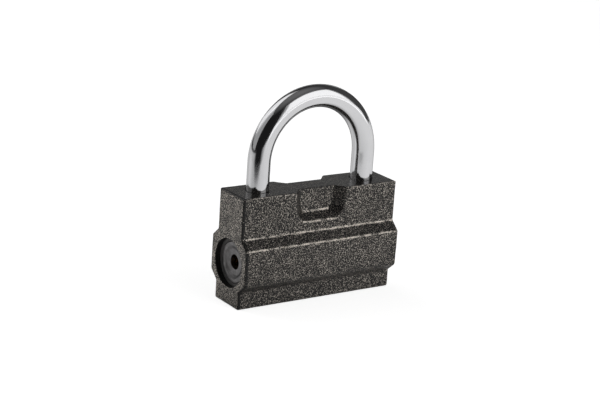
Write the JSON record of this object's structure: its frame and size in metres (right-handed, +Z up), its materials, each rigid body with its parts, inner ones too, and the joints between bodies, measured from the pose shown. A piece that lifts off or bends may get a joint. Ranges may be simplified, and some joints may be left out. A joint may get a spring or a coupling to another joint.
{
  "type": "padlock",
  "caption": "Cast padlock with a removable round-bar shackle held by two sliding bolts that a disc cylinder in the end of the body drives.",
  "frame": {"origin": "centre of the flat underside of the body", "axes": "+Z up through the shackle, +X along the body away from the keyhole, -Y towards the front face"},
  "size_m": [0.0802, 0.0286, 0.0947],
  "materials": {
    "body_coat": "hammered powder coat, antique silver over black",
    "shackle_chrome": "polished chrome plate",
    "dark_steel": "turned and blackened",
    "bright_steel": "ground",
    "brass_parts": "machined"
  },
  "bodies": {
    "body": {"body_casting": "body_coat", "cylinder_shell": "dark_steel", "front_plate": "dark_steel", "core_snap_ring": "bright_steel", "thrust_washer": "bright_steel", "shell_split_pin": "bright_steel"},
    "core": {"core_barrel": "brass_parts", "sidebar": "bright_steel", "barrel_cam": "brass_parts", "locking_disc_1": "brass_parts", "locking_disc_2": "brass_parts", "locking_disc_3": "brass_parts", "locking_disc_4": "brass_parts", "locking_disc_5": "brass_parts", "locking_disc_6": "brass_parts", "locking_disc_7": "brass_parts", "spacer_washer_1": "bright_steel", "spacer_washer_2": "bright_steel", "spacer_washer_3": "bright_steel", "spacer_washer_4": "bright_steel", "spacer_washer_5": "bright_steel", "spacer_washer_6": "bright_steel"},
    "left_bolt_set": {"left_bolt": "bright_steel", "left_follower_pin": "bright_steel"},
    "right_bolt_set": {"right_bolt": "bright_steel", "right_follower_pin": "bright_steel"},
    "shackle": {"shackle": "shackle_chrome"}
  },
  "joints": [
    {"name": "core_turn", "type": "hinge", "parent": "body", "child": "core", "pos_m": [0, 0, 0.0188], "axis": [-1, 0, 0], "range_deg": [0, 90]},
    {"name": "left_bolt_throw", "type": "slide", "parent": "body", "child": "left_bolt_set", "axis": [-1, 0, 0], "range_m": [0, 0.004]},
    {"name": "right_bolt_throw", "type": "slide", "parent": "body", "child": "right_bolt_set", "axis": [1, 0, 0], "range_m": [0, 0.004]},
    {"name": "shackle_lift", "type": "slide", "parent": "body", "child": "shackle", "axis": [0, 0, 1], "range_m": [0, 0.024]}
  ],
  "couplings": [
    {"joint": "left_bolt_throw", "follows": "core_turn", "m_per_rad": 0.002546},
    {"joint": "right_bolt_throw", "follows": "core_turn", "m_per_rad": 0.002546}
  ]
}
